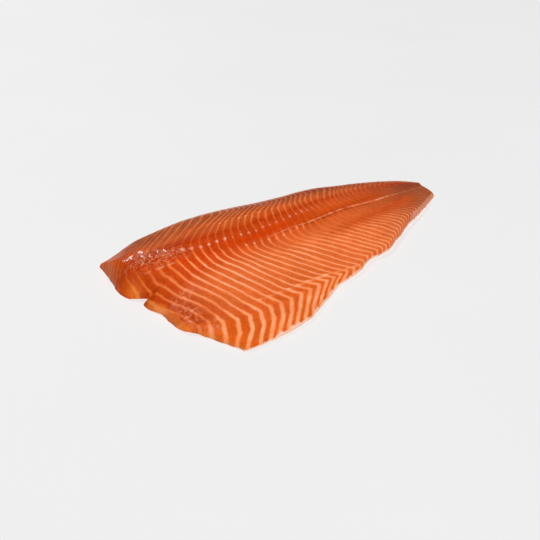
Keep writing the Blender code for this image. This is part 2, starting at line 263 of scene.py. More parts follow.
# Oval patches: (middle, half size, strength)
LIP_PATCHES = (((2, 34), (7, 8), 1.0), ((12, -62), (9, 9), 0.45))
PALE_PATCHES = (((13, -34), (8, 10), 1.0), ((20, -58), (9, 7), 0.6), ((24, -13), (14, 7), 0.5))
# The painted shade below the loin's crease, and the ridge along the crease: (along, above the crease) and
# half size
CREASE_SHADE_PLACE, CREASE_SHADE_HALF_SIZE, CREASE_SHADE_CLIMB = (74, -7), (24, 6), 0.05
RIDGE_PLACE, RIDGE_HALF_SIZE = (97, 6), (20, 4.5)
# Heights of the small forms, by the field that they follow, and the gutter below the backbone's line
FIELD_HEIGHTS = {"backbone": 0.55, "fat_node": 0.35, "wet_ridge": 0.45, "ridge": 0.5, "crack": -0.6}
GUTTER_DEPTH, GUTTER_OFFSET, GUTTER_HALF_WIDTH = 0.5, -4, 2.2
# Wrinkles of the wet patch: (direction, size, share of their full height, seed)
WRINKLES = ((math.atan2(3, 4), 3.4, 1.0, 31), (-math.atan2(4, 3), 2.2, 0.7, 32))
# Unevenness of the whole surface: (lump size, height)
FINE_SWELL, HEAD_SWELL, HEAD_SWELL_FADE = (3.4, 0.10), (11, 0.5), (20, 70)
# Relief fades in over flesh of this thickness, so that the thin edges stay whole
THIN_FLESH = (0.2, 4.5)
# Ragged edges: how deep their coarse and fine ins and outs are, and how far in from the edge they reach
RAGGED_COARSE, RAGGED_FINE, RAGGED_RATIO = 0.55, 0.3, 2.6
RAGGED_REACH, RAGGED_NOTCH_GAP = 0.005, 0.012
# The fatty belly edge and the pale rim, by the distance in from the outline. The rim runs round the tail, and
# starts where its setback from the belly edge ends.
EDGE_FAT_REACH, RIM_REACH = (6, 12), (1.5, 5)
RIM_SETBACK, RIM_START = 12, (285, 325)
# The pale film down the back's side and the pale line at its corner, partly real film and partly painted
# grazing reflection: where they set in, and how far in they reach
FILM_REACH, FILM_START, FILM_FAINT = (2, 15), (50, 120), 0.1
CORNER_HALF_WIDTH, CORNER_START, CORNER_STRENGTH = 3, (80, 150), 0.9
# Grooves of the fat lines: half their width, and how soon they reach their depth as the fat gets stronger
GROOVE_HALF_WIDTH, GROOVE_GAIN = 1.5, 1.3
# Two numbers that scatter a fat line's number into its own chance from 0 to 1
CHANCE_STEP, CHANCE_SPREAD = 12.9898, 43758.5453

# The material: how the fat lines waver and how wide they are, by part of the flesh
LINE_WAVER = 0.16
LINE_WIDTH_CHANGES = {"flap": 0.8, "loin": -0.4, "back": -0.3}
# Lines that stand closer than this, in millimetres, are narrower
CLOSE_LINES = 7.0
# How much of a line's fat is its halo's, and how fatty the fine lines on the back are
HALO_FAT, FINE_LINE_FAT = 0.14, 0.15
# A whole number that keeps the lines' numbers above zero
WHOLE_LINES = 100.0
# The muscle's colours, each laid over those before it: (field, colour, how much of it)
MUSCLE_LAYERS = (
    ("head_end", "head", 1.0),
    ("flap", "flap", 1.0),
    ("chevrons", "chevrons", 1.0),
    ("lip", "lip", 1.0),
    ("tail_end", "tail", 1.0),
    ("tail_side", "tail_side", 1.0),
    ("rear_band", "band", 1.0),
    ("trough", "trough", 1.0),
    ("bone_side", "bone_side", 1.0),
    ("loin", "loin", 1.0),
    # Painted shade in the valley between the pin bones and the loin's crease
    ("deep", "deep", 0.6),
    ("crease", "crease", 1.0),
    ("back", "back", 1.0),
    ("back_front", "back_front", 1.0),
    ("ridge", "crease", 0.6),
)
FLOOR_DARKEST, FLOOR_ROUGHNESS = 0.985, 0.7
# Sockets of a Mix node that blends colours: its factor and two colours, and the blend
MIX_INPUTS, MIX_OUTPUT = (0, 6, 7), 2

# Grid of the flesh: the steps that bunch up at each edge, and the rounds in which its places settle.
# The notch runs along the row at NOTCH_SHARE of the way across. Its lips meet where they are within TOUCHING.
EDGE_STEPS = 8
SETTLE_STEPS = 25
TOUCHING = 1e-7
SLOPE_STEP = 0.002
# Grid of the pattern, in millimetres, and the rounds in which its lines settle
PHASE_STEPS = 14
FIELD_STEP = 1.0
FIELD_MARGIN = 4
# How much the lines' bends are evened out, in millimetres, and where the flap and the front take over
LINE_ROUNDING, FLAP_ROUNDING, FRONT_ROUNDING = 2.1, 1.1, 4.0
FLAP_BLEND, FRONT_BLEND = (-2, 6), (60, 95)
WIDEST_GAP = 16.0
LUMP_COUNT = 256
SHARP_ANGLE = math.radians(50)

# Camera and lights, in metres from the middle of the fillet's footprint
CAMERA_PLACE = (-0.4711, -0.4104, 0.3400)
CAMERA_AIM = (-0.0738, -0.0194, 0.0)
CAMERA_ROLL = math.radians(0.69)
CAMERA_LENS = 44.14
CAMERA_SENSOR = 36.0
KEY_DIRECTION = (-0.35, -0.50, 0.80)
OVERHEAD_DIRECTION = (0.12, -0.25, 1.0)
GLOSS_DIRECTION = (0.277, 0.760, 0.588)
KEY_SOFTNESS, OVERHEAD_SOFTNESS, GLOSS_SOFTNESS = 30, 36, 6


def smooth_curve(points):
    """A smooth curve through the points, which runs on straight past both ends."""
    places = np.array([point[0] for point in points], float)
    values = np.array([point[1] for point in points], float)
    gaps = np.diff(places)
    chords = np.diff(values) / gaps
    inner = (chords[:-1] * gaps[1:] + chords[1:] * gaps[:-1]) / (gaps[1:] + gaps[:-1])
    slopes = np.concatenate([chords[:1], inner, chords[-1:]])

    def value(place):
        place = np.asarray(place, float)
        i = np.clip(np.searchsorted(places, place, side="right") - 1, 0, len(gaps) - 1)
        t = np.clip((place - places[i]) / gaps[i], 0, 1)
        curve = (
            (1 + 2 * t) * (1 - t) ** 2 * values[i]
            + t * (1 - t) ** 2 * gaps[i] * slopes[i]
            + t * t * (3 - 2 * t) * values[i + 1]
            + t * t * (t - 1) * gaps[i] * slopes[i + 1]
        )
        before = np.minimum(place - places[0], 0) * slopes[0]
        after = np.maximum(place - places[-1], 0) * slopes[-1]
        return curve + before + after

    return value


def scaled_curve(points, place_scale, value_scale):
    """A curve through points given in shares, brought to its real size."""
    return smooth_curve([(place * place_scale, value * value_scale) for place, value in points])


def fade(low, high, value):
    """0 below low, 1 above high, and smooth between them."""
    t = np.clip((value - low) / (high - low), 0, 1)
    return t * t * (3 - 2 * t)


def hump(value, centre, half_width):
    """1 at the centre, falling away smoothly to both sides."""
    return np.exp(-(((value - centre) / half_width) ** 2))


def noise(x, y, size, seed, crosswise=1.0):
    """Smooth unevenness from -1 to 1, in lumps of about the size, which a low crosswise draws out along y."""
    levels = np.random.default_rng(seed).uniform(-1, 1, (LUMP_COUNT, LUMP_COUNT))
    u = np.asarray(x, float) / size + LUMP_COUNT / 2
    v = np.asarray(y, float) * crosswise / size + LUMP_COUNT / 2
    i = np.floor(u).astype(int)
    j = np.floor(v).astype(int)
    s = fade(0, 1, u - i)
    t = fade(0, 1, v - j)
    i0, i1 = i % LUMP_COUNT, (i + 1) % LUMP_COUNT
    j0, j1 = j % LUMP_COUNT, (j + 1) % LUMP_COUNT
    low = levels[i0, j0] * (1 - s) + levels[i1, j0] * s
    high = levels[i0, j1] * (1 - s) + levels[i1, j1] * s
    return low * (1 - t) + high * t


back_edge = scaled_curve(BACK_EDGE, LENGTH, HALF)
belly_edge = scaled_curve(BELLY_EDGE, LENGTH, HALF)
head_cut = scaled_curve(HEAD_CUT, HALF, LENGTH)
tail_cut = scaled_curve(TAIL_CUT, HALF, LENGTH)
crest_height = scaled_curve(CREST_HEIGHT, LENGTH, THICKNESS)
front_section = smooth_curve(FRONT_SECTION)
rear_section = smooth_curve(REAR_SECTION)
backbone_share = scaled_curve(BACKBONE_SHARE, LENGTH, 1)
pin_bone_share = scaled_curve(PIN_BONE_SHARE, LENGTH, 1)
belly_fold_share = scaled_curve(BELLY_FOLD_SHARE, LENGTH, 1)
back_rise = scaled_curve(BACK_RISE, LENGTH, 1)
head_rise = scaled_curve(HEAD_RISE, HALF, 1)
head_thinning = smooth_curve(HEAD_THINNING)
chevron_tips = smooth_curve(CHEVRON_TIPS)
belly_fold = smooth_curve(BELLY_FOLD)
mid_belly = smooth_curve(MID_BELLY)
pin_bones = smooth_curve(PIN_BONES)
loin_crease = smooth_curve(LOIN_CREASE)
flap_step = smooth_curve(FLAP_STEP)
rim_fat = smooth_curve(RIM_FAT)
back_corner = smooth_curve(BACK_CORNER)
wet_ridge = smooth_curve(WET_RIDGE)
backbone = smooth_curve(BACKBONE)
hook_ends = smooth_curve(HOOK_ENDS)
line_number = smooth_curve(LINE_NUMBERS)
lean_curves = [smooth_curve(list(zip(LEAN_STATIONS, leans))) for row, leans in LEAN_ROWS]
strength_curves = [smooth_curve(list(zip(STRENGTH_STATIONS, shares))) for row, shares in STRENGTH_ROWS]


# The solid's form


def span(ends, place):
    """1 along the middle of a stretch, fading to 0 towards its two ends."""
    start, full, fading, end = ends
    return fade(start, full, place) * (1 - fade(fading, end, place))


def rise(distance, width, roundness):
    """An edge's share of its full height, at a distance in from the outline."""
    rest = 1 - np.clip(distance / width, 0, 1)
    return (1 - rest**roundness) ** (1 / roundness)


def inward(edge, place, gap):
    """The distance square to a sloping edge, for a gap measured straight along X or Y."""
    slope = (edge(place + SLOPE_STEP) - edge(place - SLOPE_STEP)) / (2 * SLOPE_STEP)
    return gap / np.hypot(1, slope)


def top_height(x, y):
    """Height of the flesh above the resting plane, away from the notch."""
    back, belly = back_edge(x), belly_edge(x)
    middle, half = (back + belly) / 2, (back - belly) / 2
    across = (y - middle) / half
    rear = fade(FRONT_ENDS * LENGTH, REAR_STARTS * LENGTH, x)
    height = crest_height(x) * (front_section(across) * (1 - rear) + rear_section(across) * rear)
    trough = middle + half * (backbone_share(x) + pin_bone_share(x)) / 2
    height -= TROUGH_DEPTH * span(TROUGH_SPAN, x / LENGTH) * hump(y, trough, TROUGH_HALF_WIDTH)
    fold = middle + half * belly_fold_share(x)
    height += FOLD_HEIGHT * span(FOLD_SPAN, x / LENGTH) * hump(y, fold, FOLD_HALF_WIDTH)
    height *= 1 - head_thinning(across) * (1 - fade(0, THINNING_REACH * LENGTH, x - head_cut(y)))
    height *= rise(inward(back_edge, x, back - y), back_rise(x), BACK_ROUNDNESS)
    height *= rise(inward(belly_edge, x, y - belly), BELLY_RISE, BELLY_ROUNDNESS)
    height *= rise(inward(head_cut, y, x - head_cut(y)), head_rise(y), HEAD_ROUNDNESS)
    height *= rise(inward(tail_cut, y, tail_cut(y) - x), TAIL_RISE, TAIL_ROUNDNESS)
    return height


def spaced(index, inner, low, high, low_edge, high_edge):
    """Places from low to high by index: close together at both edges, and evenly spread between them.

    Each edge is its (width, roundness), which its places bunch up to follow.
    """

    def stop(step, edge):
        width, roundness = edge
        turn = math.pi / 2 * np.clip(step, 0, EDGE_STEPS - 1) / EDGE_STEPS
        return width * (1 - np.cos(turn) ** (2 / roundness))

    last = 2 * EDGE_STEPS + inner - 1
    first_inner = low + stop(EDGE_STEPS - 1, low_edge)
    last_inner = high - stop(EDGE_STEPS - 1, high_edge)
    share = np.clip((index - EDGE_STEPS + 1) / (inner + 1), 0, 1)
    place = first_inner + (last_inner - first_inner) * share
    place = np.where(index < EDGE_STEPS, low + stop(index, low_edge), place)
    return np.where(index > last - EDGE_STEPS, high - stop(last - index, high_edge), place)


def notch_swing(x, apart):
    """How far the notch swings the flesh at x towards the back, at a distance in from the loin's lip."""
    open_share = np.clip((NOTCH_TIP - x) / NOTCH_DEPTH, 0, 1)
    return NOTCH_MOUTH * open_share * np.exp(-apart / NOTCH_REACH)


def flesh_plan(columns, rows):
    """Where the columns meet the rows in plan, the notch's row number, and how far off the notch's lips are.

    The notch's row stands twice, first as the flap's lip and then as the loin's lip.
    """
    notch_row = round(EDGE_STEPS - 1 + NOTCH_SHARE * (rows + 1))
    row = np.concatenate([np.arange(notch_row + 1), np.arange(notch_row, 2 * EDGE_STEPS + rows)])[None, :]
    column = np.arange(2 * EDGE_STEPS + columns)[:, None]
    on_loin = (np.arange(row.shape[1]) > notch_row)[None, :]
    x = np.full((column.shape[0], row.shape[1]), LENGTH / 2)
    for _ in range(SETTLE_STEPS):
        edges = (BELLY_RISE, BELLY_ROUNDNESS), (back_rise(x), BACK_ROUNDNESS)
        across = (rows, belly_edge(x), back_edge(x), *edges)
        y, lip = spaced(row, *across), spaced(notch_row, *across)
        apart = np.abs(y - lip)
        y = y + np.where(on_loin, notch_swing(x, apart), 0)
        apart = np.where(on_loin, y - lip - notch_swing(x, 0), apart)
        ends = (head_rise(y), HEAD_ROUNDNESS), (TAIL_RISE, TAIL_ROUNDNESS)
        x = spaced(column, columns, head_cut(y), tail_cut(y), *ends)
    return x, y, notch_row, apart


# The pattern of the flesh


def pattern_rows(along):
    """The across places of the rows that the fat lines bend at, from the belly edge to the back edge."""
    metres = (along - PATTERN_START) * MM
    belly, back = belly_edge(metres) / MM, back_edge(metres) / MM
    tips = np.maximum(chevron_tips(along), belly + TIPS_GAP)
    fold = np.maximum(belly_fold(along), tips + FOLD_GAP)
    middle = mid_belly(along)
    bones = pin_bones(along)
    crease = np.maximum(loin_crease(along), bones + CREASE_GAP)
    top = np.maximum(back, crease + BACK_GAP)
    drop = ABOVE_FOLD_DROP * np.clip((middle - fold) / NARROW_BELLY, 0.05, 1)
    above_fold = np.maximum(middle - drop, fold + ABOVE_FOLD_GAP)
    upper_belly = [middle * share for share in UPPER_BELLY_SHARES]
    loin = [bones * TROUGH_SHARE, bones, bones + (crease - bones) * LOIN_SHARE]
    loin += [crease, crease + (top - crease) * LOIN_SHARE, top]
    rows = [belly, (belly + tips) / 2, tips, fold, above_fold, middle] + upper_belly + loin
    return np.maximum.accumulate(np.stack(rows), axis=0)


def between_rows(rows, across, values):
    """The values that stand on the rows, blended for places between them."""
    result = np.zeros_like(across) + values[0]
    for low, high, here, after in zip(rows, rows[1:], values, values[1:]):
        share = np.clip((across - low) / np.maximum(high - low, 0.001), 0, 1)
        result = np.where(across >= low, here + (after - here) * share, result)
    return result


def smoothed(field, spread):
    """A field evened out over a spread in millimetres."""
    reach = math.ceil(3 * spread / FIELD_STEP)
    weights = hump(np.arange(-reach, reach + 1) * FIELD_STEP, 0, spread * math.sqrt(2))
    weights /= weights.sum()
    for axis in (0, 1):
        edges = [(0, 0), (0, 0)]
        edges[axis] = (reach, reach)
        padded = np.pad(field, edges, mode="edge")
        size = field.shape[axis]
        field = sum(w * np.take(padded, range(k, k + size), axis=axis) for k, w in enumerate(weights))
    return field


class Pattern:
    """The fat lines' numbering over the whole fillet, on a square grid in millimetres."""

    def __init__(self):
        self.start = np.array([PATTERN_START, -PATTERN_SIZE[1] / 2]) - FIELD_MARGIN
        size = np.array(PATTERN_SIZE) + 2 * FIELD_MARGIN
        places = [start + np.arange(0, extent, FIELD_STEP) for start, extent in zip(self.start, size)]
        along, across = np.meshgrid(*places, indexing="ij")
        rows = pattern_rows(along)
        ends = LEAN_STATIONS[0], LEAN_STATIONS[-1]
        source = along
        for _ in range(PHASE_STEPS):
            station = np.clip(source, *ends)
            leans = [curve(station) for curve in lean_curves]
            source = (source + along - between_rows(rows, across, leans)) / 2
        number = line_number(source)
        on_flap = 1 - fade(*FLAP_BLEND, across - belly_fold(along))
        in_front = (1 - fade(*FRONT_BLEND, along)) * (1 - on_flap)
        even = smoothed(number, LINE_ROUNDING) * (1 - on_flap) + smoothed(number, FLAP_ROUNDING) * on_flap
        self.number = even * (1 - in_front) + smoothed(number, FRONT_ROUNDING) * in_front
        slopes = np.gradient(self.number, FIELD_STEP)
        self.gap = smoothed(1 / np.maximum(np.hypot(*slopes), 1 / WIDEST_GAP), LINE_ROUNDING)

    def at(self, field, along, across):
        """A field of the pattern at any places."""
        u = np.clip((along - self.start[0]) / FIELD_STEP, 0, field.shape[0] - 1.001)
        v = np.clip((across - self.start[1]) / FIELD_STEP, 0, field.shape[1] - 1.001)
        i, j = u.astype(int), v.astype(int)
        s, t = u - i, v - j
        low = field[i, j] * (1 - s) + field[i + 1, j] * s
        high = field[i, j + 1] * (1 - s) + field[i + 1, j + 1] * s
        return low * (1 - t) + high * t


def turned(x, y, angle):
    """The place along and across a direction at an angle from X."""
    return x * math.cos(angle) + y * math.sin(angle), y * math.cos(angle) - x * math.sin(angle)


def oval(along, across, middle, half_size):
    """1 in the middle of an oval, falling away smoothly to all sides."""
    return hump(np.hypot((along - middle[0]) / half_size[0], (across - middle[1]) / half_size[1]), 0, 1)


def patches(ovals, along, across):
    """Oval patches laid together, each of its own strength."""
    return sum(strength * oval(along, across, middle, half_size) for middle, half_size, strength in ovals)


def zone_fields(along, across, rows):
    """Which part of the flesh each place is in, by the part's name."""
    zones = {}
    for name, weights in ZONE_ROWS.items():
        zone = between_rows(rows, across, [np.full_like(along, weight) for weight in weights])
        if name in ZONE_SPANS:
            zone *= span(ZONE_SPANS[name], along)
        if name in ZONE_LOSSES:
            start, end, loss = ZONE_LOSSES[name]
            zone *= 1 - loss * fade(start, end, along)
        zones[name.replace(" ", "_")] = zone
    zones["head_end"] = span(HEAD_END_SPAN, along)
    zones["tail_end"] = span(TAIL_END_SPAN, along)
    zones["tail_side"] = span(TAIL_SIDE_SPAN, along) * (1 - fade(*TAIL_SIDE_REACH, across))
    zones["back_front"] = zones["back"] * span(BACK_FRONT_SPAN, along)
    zones["fine_lines"] = zones["back"] * (1 - FINE_LINES_LOSS * fade(*FINE_LINES_FADE, along))
    return zones


def bone_ends(along, across, from_line, chance):
    """The pin bones' ends. Each fat line has one, which lies a little off their row and has its own size."""
    from_row = across - pin_bones(along) - (chance - 0.5) * BONE_END_STRAY
    growth = 1 + LARGE_BONES_GROWTH * (1 - fade(*LARGE_BONES_FADE, along))
    size = (BONE_END_SIZE + BONE_END_SPREAD * chance) * growth
    ragged = 1 + BONE_END_RAGGEDNESS * noise(along, across, size=2.1, seed=13)
    spot = np.exp(-(((from_line / (0.8 * size)) ** 2 + (from_row / size) ** 2) * ragged))
    strength = (1 - STRONG_BONES_LOSS * fade(*STRONG_BONES_FADE, along)) * (0.7 + 0.3 * chance)
    return spot * span(BONE_END_SPAN, along) * strength


def backbone_line(along, across):
    """The pale, beaded line that the backbone left. It is faint at first, and again towards the tail."""
    half_width = BACKBONE_HALF_WIDTH + 0.5 * noise(along, across, size=9, seed=11)
    beads = 0.55 + 0.5 * noise(along, across, size=4.5, seed=12, crosswise=0.3)
    strength = 0.45 * fade(*BACKBONE_FAINT, along) + 0.55 * fade(*BACKBONE_FULL, along)
    strength *= 1 - 0.75 * fade(*BACKBONE_FADING, along)
    return hump(across, backbone(along), half_width) * beads * strength


def fat_nodes(along, across, past_line, chance):
    """Thick spots of fat on the lines: at the belly fold, the flap's step, the crease and the hooked ends."""
    from_line = np.abs(past_line)
    fold = belly_fold(along)
    fold_nodes = hump(across, fold + 0.5, 2.2) * hump(past_line, 0.8, 2.6) * (0.6 + 0.4 * chance)
    crease = loin_crease(along) + 1.2 * noise(along, across, size=6, seed=24, crosswise=0.2)
    crease_nodes = hump(across, crease, 1.5) * hump(from_line, 0, 1.4) * 1.1 * chance
    hooks = hook_ends(along) + 2.6 * noise(along, across, size=8, seed=25, crosswise=0.2)
    hook_nodes = hump(across, hooks, 2.8) * hump(from_line, 0, 1.25) * 1.3 * (0.35 + 0.65 * chance)
    step_nodes = 0.7 * hump(across, flap_step(along), 2.0) * hump(from_line, 0, 3.2)
    return (
        fold_nodes * span(FOLD_NODE_SPAN, along)
        + crease_nodes * span(CREASE_NODE_SPAN, along)
        + hook_nodes * span(HOOK_END_SPAN, along)
        + step_nodes * span(FLAP_STEP_SPAN, along)
    )


def fold_band(along, across):
    """The broken band of fat along the belly fold."""
    course = belly_fold(along) + 0.8 * noise(along, across, size=5, seed=14)
    strength = 0.4 * fade(*FOLD_BAND_THIN, along) + 0.6 * fade(*FOLD_BAND_FULL, along)
    strength *= 1 - fade(*FOLD_BAND_END, along)
    broken = 0.6 + 0.35 * noise(along, across, size=4, seed=15)
    return hump(across, course, FOLD_BAND_HALF_WIDTH) * strength * broken


def wet_patch(along, across):
    """The wet, wrinkled patch on the front of the loin, from 0 to 1."""
    down, side = turned(along - WET_PLACE[0], across - WET_PLACE[1], WET_TURN)
    return hump(np.hypot(down / WET_HALF_LENGTH, side / WET_HALF_WIDTH) ** 2, 0, 1)


def wet_ridges(along, across):
    """The broken ridge below the wet patch."""
    course = wet_ridge(along) + 1.1 * noise(along, across, size=5, seed=16, crosswise=0.3)
    broken = fade(-0.2, 0.3, noise(along, across, size=3.2, seed=19, crosswise=0.3))
    return 0.6 * hump(across, course, 0.9) * span(WET_RIDGE_SPAN, along) * broken


def cracks(along, across):
    """The broken cracks along the loin's crease, and the seam beside the backbone's line. The material
    darkens them as painted shade.
    """
    crease = loin_crease(along) + 0.7 * noise(along, across, size=7, seed=17, crosswise=0.2)
    crack = hump(across, crease, 1.0) * span(CRACK_SPAN, along)
    crack *= fade(-0.3, 0.5, noise(along, across, size=8, seed=18, crosswise=0.2))
    course = backbone(along) - 2.4 + 0.6 * noise(along, across, size=9, seed=20, crosswise=0.2)
    seam = hump(across, course, 0.8) * span(SEAM_SPAN, along)
    seam *= fade(-0.5, 0.3, noise(along, across, size=6, seed=22, crosswise=0.2))
    return np.maximum(crack, 0.6 * seam)


def head_lips(along, across):
    """The fresh flesh along the head cut and round the notch."""
    from_head = along - (head_cut(across * MM) / MM + PATTERN_START)
    lip = patches(LIP_PATCHES, along, across)
    for (full, end), stretch, strength in HEAD_LIPS:
        lip += strength * (1 - fade(full, end, from_head)) * span(stretch, across)
    return np.clip(lip, 0, 1)


def rim_fields(along, across, base, rows):
    """The fatty belly edge, the pale rims of the tail and the back, and the film down the back's side. The
    back's rim and film are partly painted grazing reflection.
    """
    from_belly = across - rows[0]
    from_back = inward(back_edge, (along - PATTERN_START) * MM, rows[-1] - across)
    from_tail = inward(tail_cut, across * MM, tail_cut(across * MM) / MM + PATTERN_START - along)
    from_rim = np.minimum(from_tail, from_belly + RIM_SETBACK * (1 - fade(*RIM_START, along)))
    coarse = noise(along, across, size=7, seed=21, crosswise=0.4)
    fine = noise(along, across, size=2.6, seed=23, crosswise=0.4)
    fat_height = rim_fat(along) * (1 + 0.3 * coarse + 0.35 * fine)
    # The pale line at the back's corner: partly painted grazing reflection
    corner = hump(from_back, back_corner(along), CORNER_HALF_WIDTH)
    corner *= CORNER_STRENGTH * fade(*CORNER_START, along)
    film = FILM_FAINT + (1 - FILM_FAINT) * fade(*FILM_START, along)
    return {
        "edge_fat": (1 - fade(0.55 * fat_height, fat_height, base)) * (1 - fade(*EDGE_FAT_REACH, from_belly)),
        "pale_rim_and_sheen": np.maximum(0.65 * (1 - fade(*RIM_REACH, from_rim)), corner),
        "film_and_painted_sheen": (1 - fade(*FILM_REACH, from_back)) * film,
    }


def flesh_fields(along, across, base):
    """What the flesh is like at every place: its fat lines, its parts and its small forms, by name.

    The base is the height of the plain form in millimetres.
    """
    pattern = Pattern()
    number = pattern.at(pattern.number, along, across)
    gap = pattern.at(pattern.gap, along, across)
    rows = pattern_rows(along)
    nearest = np.round(number)
    past_line = (number - nearest) * gap
    chance = np.sin(nearest * CHANCE_STEP) * CHANCE_SPREAD
    chance -= np.floor(chance)
    wet = wet_patch(along, across)
    above_crease = across - loin_crease(along)
    climb = CREASE_SHADE_CLIMB * (along - CREASE_SHADE_PLACE[0])
    shares = [curve(np.clip(along, STRENGTH_STATIONS[0], STRENGTH_STATIONS[-1])) for curve in strength_curves]
    return {
        "line_number": number,
        "line_gap": gap,
        "fat_strength": between_rows(rows, across, shares) * (1 - 0.75 * wet),
        **zone_fields(along, across, rows),
        "bone_spot": bone_ends(along, across, np.abs(past_line), chance),
        "backbone": backbone_line(along, across),
        "fat_node": np.clip(fat_nodes(along, across, past_line, chance) + fold_band(along, across), 0, 1),
        "wet": wet * (0.75 + 0.25 * noise(along, across, size=6, seed=33)),
        "wet_ridge": wet_ridges(along, across),
        "crack": cracks(along, across),
        # Painted shade between the pin bones and the loin's crease
        "deep": oval(along, above_crease - climb, CREASE_SHADE_PLACE, CREASE_SHADE_HALF_SIZE),
        "ridge": oval(along, above_crease, RIDGE_PLACE, RIDGE_HALF_SIZE),
        "lip": head_lips(along, across),
        "pale_patch": np.clip(patches(PALE_PATCHES, along, across), 0, 1),
        **rim_fields(along, across, base, rows),
    }


def flesh_relief(along, across, fields, sizes):
    """How far the flesh stands above its plain form, in millimetres."""
    from_line = np.abs(fields["line_number"] - np.round(fields["line_number"])) * fields["line_gap"]
    groove = hump(from_line, 0, GROOVE_HALF_WIDTH) * np.clip(fields["fat_strength"] * GROOVE_GAIN, 0, 1)
    relief = -sizes.line_groove / MM * groove
    relief += sizes.bone_height / MM * fields["bone_spot"]
    for name, height in FIELD_HEIGHTS.items():
        relief += height * fields[name]
    gutter = hump(across, backbone(along) + GUTTER_OFFSET, GUTTER_HALF_WIDTH)
    relief -= GUTTER_DEPTH * gutter * span(GUTTER_SPAN, along)
    for turn, size, share, seed in WRINKLES:
        wrinkle = share * noise(*turned(along, across, turn), size=size, seed=seed)
        relief += sizes.wrinkle_height / MM * fields["wet"] * wrinkle
    swaying = noise(along, across, size=28, seed=41) + 0.3 * noise(along, across, size=13, seed=42)
    relief += sizes.sway / MM * swaying
    size, height = FINE_SWELL
    relief += height * noise(along * 0.6, across, size=size, seed=43)
    size, height = HEAD_SWELL
    relief += height * noise(along, across, size=size, seed=44) * (1 - fade(*HEAD_SWELL_FADE, along))
    return relief


def ragged(place, size, seed):
    """Small ins and outs along an edge, in metres."""
    flat = np.zeros_like(place)
    coarse = noise(place / MM, flat, size=size, seed=seed)
    fine = noise(place / MM, flat, size=size / RAGGED_RATIO, seed=seed + 1)
    return MM * (RAGGED_COARSE * coarse + RAGGED_FINE * fine)


# The mesh


def flesh_shape(sizes):
    """The flesh's points in metres on the solid's own plan, the notch's row number and the flesh's fields."""
    x, y, notch_row, apart = flesh_plan(sizes.columns, sizes.rows)
    height = top_height(x, y)
    in_notch = x < NOTCH_TIP
    height = np.where(in_notch, height * rise(apart, NOTCH_RISE, BELLY_ROUNDNESS), height)
    along = x / MM + PATTERN_START
    across = y / MM
    fields = flesh_fields(along, across, height / MM)
    relief = MM * flesh_relief(along, across, fields, sizes)
    height = np.maximum(height + relief * fade(*THIN_FLESH, height / MM), 0)
    height[[0, -1], :] = 0
    height[:, [0, -1]] = 0
    y = y - ragged(x, size=9, seed=51) * np.exp(-(y - belly_edge(x)) / RAGGED_REACH)
    off_notch = fade(0, RAGGED_NOTCH_GAP, np.abs(apart))
    x = x + ragged(y, size=8, seed=53) * np.exp(-(x - head_cut(y)) / RAGGED_REACH) * off_notch
    return x, y, height, notch_row, fields


def flesh_mesh(name, sizes):
    """The fillet's mesh: a fine grid over the top and a flat underside. It carries the flesh's fields."""
    x, y, height, notch_row, fields = flesh_shape(sizes)
    low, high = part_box(CAD_NODE)
    scale = (high[0] - low[0]) / (x.max() - x.min())
    x = (low[0] + high[0]) / 2 + (x - (x.min() + x.max()) / 2) * scale
    y = (low[1] + high[1]) / 2 + (y - (y.min() + y.max()) / 2) * scale
    height = low[2] + height * scale

    # The notch's lips stand apart at its mouth. Past its tip they are one row of points.
    columns, rows = x.shape
    number = np.arange(columns * rows).reshape(columns, rows)
    flap_lip, loin_lip = notch_row, notch_row + 1
    mouth = np.hypot(x[:, flap_lip] - x[:, loin_lip], y[:, flap_lip] - y[:, loin_lip])
    closed = mouth < TOUCHING
    closed[: int(np.argmax(closed))] = False
    number[closed, loin_lip] = number[closed, flap_lip]
    strips = [row for row in range(rows - 1) if row != flap_lip]
    corners = [number[:-1, strips], number[1:, strips]]
    after = [row + 1 for row in strips]
    corners += [number[1:, after], number[:-1, after]]
    faces = np.stack(corners, axis=-1).reshape(-1, 4).tolist()

    # The underside: the outline with the notch in it, filled flat
    points = np.stack([x, y, height], axis=-1).reshape(-1, 3)
    tip_column = int(np.argmax(closed))
    rim = list(number[:, 0]) + list(number[-1, 1:]) + list(number[-2::-1, -1])
    rim += list(number[0, -2:flap_lip:-1])
    rim += list(number[1:tip_column, loin_lip]) + list(number[tip_column::-1, flap_lip])
    rim += list(number[0, flap_lip - 1 : 0 : -1])
    rim = [int(corner) for k, corner in enumerate(rim) if corner != rim[k - 1]]
    points[rim, 2] = low[2]
    flat = [Vector((points[corner, 0], points[corner, 1], 0)) for corner in rim]
    for a, b, c in tessellate_polygon([flat]):
        faces_up = (flat[b] - flat[a]).cross(flat[c] - flat[a]).z > 0
        faces.append([rim[a], rim[c], rim[b]] if faces_up else [rim[a], rim[b], rim[c]])

    # Only the points that a face uses
    used = np.zeros(len(points), bool)
    for corners in faces:
        used[corners] = True
    place = np.cumsum(used) - 1
    mesh = bpy.data.meshes.new(name)
    faces = [[int(place[corner]) for corner in corners] for corners in faces]
    mesh.from_pydata(points[used].tolist(), [], faces)
    mesh.validate()
    for field, values in fields.items():
        attribute = mesh.attributes.new(field, "FLOAT", "POINT")
        attribute.data.foreach_set("value", values.reshape(-1)[used].astype(np.float32))
    mesh.shade_smooth()
    mesh.set_sharp_from_angle(angle=SHARP_ANGLE)
    return mesh


# The material


def add(tree, kind, inputs=None, **settings):
    """A new node with its settings. Each input is given as a number, a colour or another node's output."""
    node = tree.nodes.new(kind)
    for name, value in settings.items():
        setattr(node, name, value)
    for name, value in (inputs or {}).items():
        if isinstance(value, bpy.types.NodeSocket):
            tree.links.new(value, node.inputs[name])
        else:
            node.inputs[name].default_value = value
    return node


